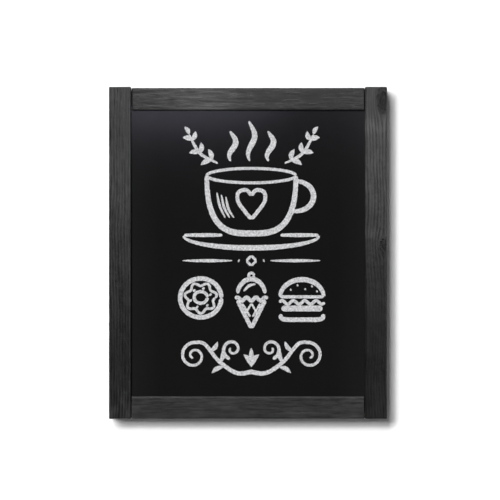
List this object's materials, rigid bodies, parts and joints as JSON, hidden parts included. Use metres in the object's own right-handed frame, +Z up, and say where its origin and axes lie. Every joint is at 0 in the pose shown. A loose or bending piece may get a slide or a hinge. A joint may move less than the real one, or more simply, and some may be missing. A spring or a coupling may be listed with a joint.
{
  "type": "framed chalkboard with folding leg",
  "caption": "Portrait chalkboard in a black-stained wood frame, with a rear leg that folds flat, hook-on stays and keyhole wall hangers.",
  "frame": {"origin": "middle of the frame's bottom face, at half the frame's thickness", "axes": "+Z up along the stiles, +Y from the writing side to the back, +X to the right as seen by the reader"},
  "size_m": [0.5, 0.028, 0.597],
  "materials": {
    "stained_frame": "black stain on open-grained softwood, satin",
    "stained_leg": "black stain on softwood, satin",
    "bare_wood": "unfinished beech",
    "writing_surface": "matt black chalk laminate",
    "chalk": "dry chalk line, grainy",
    "hardboard": "pressed brown fibreboard",
    "zinc_steel": "zinc-plated steel, satin",
    "magnet": "nickel-plated magnet",
    "rubber": "matt black rubber",
    "felt": "dark grey felt"
  },
  "bodies": {
    "frame": {"stile_left": "stained_frame", "stile_right": "stained_frame", "rail_top": "stained_frame", "rail_bottom": "stained_frame", "corner_dowels": "bare_wood", "writing_surface": "writing_surface", "panel_core": "hardboard", "panel_points": "zinc_steel", "hinge_leaf_fixed_left": "zinc_steel", "hinge_leaf_fixed_right": "zinc_steel", "hinge_pin_left": "zinc_steel", "hinge_pin_right": "zinc_steel", "hinge_screws_frame": "zinc_steel", "stay_pivot_screw_left": "zinc_steel", "stay_pivot_screw_right": "zinc_steel", "stay_spacer_left": "zinc_steel", "stay_spacer_right": "zinc_steel", "hanger_plate_left": "zinc_steel", "hanger_plate_right": "zinc_steel", "hanger_screws": "zinc_steel", "wall_bumpers": "rubber", "catch_magnet": "magnet"},
    "leg": {"leg_upright_left": "stained_leg", "leg_upright_right": "stained_leg", "leg_crossbar_top": "stained_leg", "leg_crossbar_bottom": "stained_leg", "leg_dowels": "bare_wood", "hinge_leaf_moving_left": "zinc_steel", "hinge_leaf_moving_right": "zinc_steel", "hinge_screws_leg": "zinc_steel", "stay_stud_left": "zinc_steel", "stay_stud_right": "zinc_steel", "leg_foot_left": "rubber", "leg_foot_right": "rubber", "leg_pads": "felt", "strike_plate": "zinc_steel", "strike_screw": "zinc_steel"},
    "stay_left": {"stay_left": "zinc_steel"},
    "stay_right": {"stay_right": "zinc_steel"}
  },
  "joints": [
    {"name": "leg_fold", "type": "hinge", "parent": "frame", "child": "leg", "pos_m": [0, 0.0136, 0.5645], "axis": [1, 0, 0], "range_deg": [0, 27]},
    {"name": "stay_left_swing", "type": "hinge", "parent": "frame", "child": "stay_left", "pos_m": [-0.216, 0.005, 0.23], "axis": [1, 0, 0], "range_deg": [0, 111]},
    {"name": "stay_right_swing", "type": "hinge", "parent": "frame", "child": "stay_right", "pos_m": [0.216, 0.005, 0.23], "axis": [1, 0, 0], "range_deg": [0, 111]}
  ]
}
